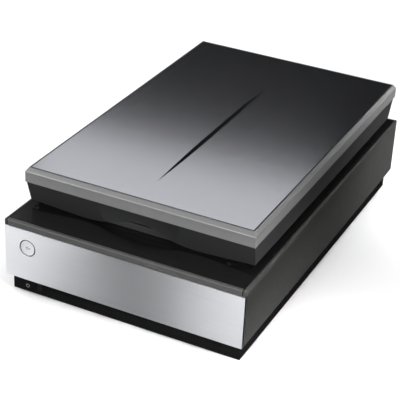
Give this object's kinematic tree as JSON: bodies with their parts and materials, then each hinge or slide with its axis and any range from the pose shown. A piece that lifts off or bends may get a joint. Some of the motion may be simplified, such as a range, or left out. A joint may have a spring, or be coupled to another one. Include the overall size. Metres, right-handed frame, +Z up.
{
  "type": "flatbed scanner",
  "caption": "A4 flatbed scanner with a hinged film-scanning lid, document glass, belt-driven scanning carriage and front buttons.",
  "frame": {"origin": "centre of the footprint on the surface that the feet stand on", "axes": "+X to the right seen from the front, +Y towards the hinges, +Z up; the buttons are on the -Y side"},
  "size_m": [0.308, 0.503, 0.152],
  "materials": {
    "lid_plate": "satin dark metallic",
    "lid_grey": "satin grey metallic paint",
    "silver": "brushed, clear-coated",
    "side_grey": "satin dark metallic",
    "trim_grey": "fine moulded texture",
    "black": "satin",
    "inner_black": "matt moulded",
    "rubber": "matt",
    "steel": "zinc plated",
    "glass": "polished",
    "mirror": "polished",
    "white": "matt white",
    "gear_nylon": "moulded nylon",
    "board_green": "solder mask",
    "cable_grey": "ribbon"
  },
  "bodies": {
    "base": {"side_panel_left": "side_grey", "side_panel_right": "side_grey", "foot_front_left": "rubber", "foot_rear_left": "rubber", "foot_front_right": "rubber", "foot_rear_right": "rubber", "drive_belt": "rubber", "front_panel": "silver", "rear_panel": "inner_black", "rod_bracket_front": "inner_black", "rod_bracket_rear": "inner_black", "hinge_socket_left": "inner_black", "hinge_socket_right": "inner_black", "lower_case": "black", "deck": "black", "dc_inlet": "black", "deck_front_trim": "trim_grey", "document_glass": "glass", "calibration_strip": "white", "usb_socket": "steel", "option_socket": "steel", "guide_rod": "steel", "slide_rail": "steel", "motor": "steel", "gear_shaft": "steel", "idler_bracket": "steel", "tension_spring": "steel", "main_board": "board_green", "button_board": "board_green", "flat_cable": "cable_grey"},
    "carriage": {"carriage_housing": "inner_black", "carriage_bush_front": "gear_nylon", "carriage_bush_rear": "gear_nylon", "carriage_slider": "gear_nylon", "light_bar": "white", "mirror_lower": "mirror", "mirror_upper": "mirror", "lens_unit": "inner_black", "sensor_board": "board_green"},
    "drive_gear": {"drive_gear": "gear_nylon"},
    "motor_rotor": {"motor_pinion": "steel"},
    "idler": {"idler_pulley": "gear_nylon"},
    "start_button": {"start_button": "silver"},
    "power_button": {"power_button": "black"},
    "transport_lock": {"transport_lock": "trim_grey"},
    "hinge_posts": {"hinge_post_left": "steel", "hinge_pin_left": "steel", "hinge_post_right": "steel", "hinge_pin_right": "steel"},
    "lid": {"lid_frame": "lid_grey", "lid_top_plate": "lid_plate", "lid_shell": "black", "lid_underside": "inner_black", "lid_window": "white", "lid_guide_rod": "steel", "hinge_arm_left": "steel", "hinge_arm_right": "steel"},
    "mat": {"document_mat": "white"},
    "lamp": {"lid_lamp_carriage": "inner_black"}
  },
  "joints": [
    {"name": "lid_lift", "type": "slide", "parent": "base", "child": "hinge_posts", "axis": [0, 0, 1], "range_m": [0, 0.02]},
    {"name": "lid_hinge", "type": "hinge", "parent": "hinge_posts", "child": "lid", "pos_m": [0, 0.238, 0.112], "axis": [-1, 0, 0], "range_deg": [0, 80]},
    {"name": "mat_slide", "type": "slide", "parent": "lid", "child": "mat", "axis": [0, -1, 0], "range_m": [0, 0.008]},
    {"name": "lamp_slide", "type": "slide", "parent": "lid", "child": "lamp", "axis": [0, -1, 0], "range_m": [0, 0.31]},
    {"name": "carriage_slide", "type": "slide", "parent": "base", "child": "carriage", "axis": [0, -1, 0], "range_m": [0, 0.318]},
    {"name": "drive_gear_spin", "type": "hinge", "parent": "base", "child": "drive_gear", "pos_m": [-0.117, 0.1963, 0.0222], "axis": [0, 0, 1], "continuous": true},
    {"name": "motor_spin", "type": "hinge", "parent": "base", "child": "motor_rotor", "pos_m": [-0.087, 0.1963, 0.0222], "axis": [0, 0, 1], "continuous": true},
    {"name": "idler_spin", "type": "hinge", "parent": "base", "child": "idler", "pos_m": [-0.117, -0.2121, 0.0284], "axis": [0, 0, 1], "continuous": true},
    {"name": "start_press", "type": "slide", "parent": "base", "child": "start_button", "axis": [0, 1, 0], "range_m": [0, 0.0015], "stiffness_N_per_m": 300},
    {"name": "power_press", "type": "slide", "parent": "base", "child": "power_button", "axis": [0, 1, 0], "range_m": [0, 0.001], "stiffness_N_per_m": 200},
    {"name": "lock_slide", "type": "slide", "parent": "base", "child": "transport_lock", "axis": [1, 0, 0], "range_m": [0, 0.01]}
  ],
  "couplings": [
    {"joint": "drive_gear_spin", "follows": "carriage_slide", "rad_per_m": 142.86},
    {"joint": "idler_spin", "follows": "carriage_slide", "rad_per_m": 142.86},
    {"joint": "motor_spin", "follows": "carriage_slide", "rad_per_m": -428.57}
  ]
}
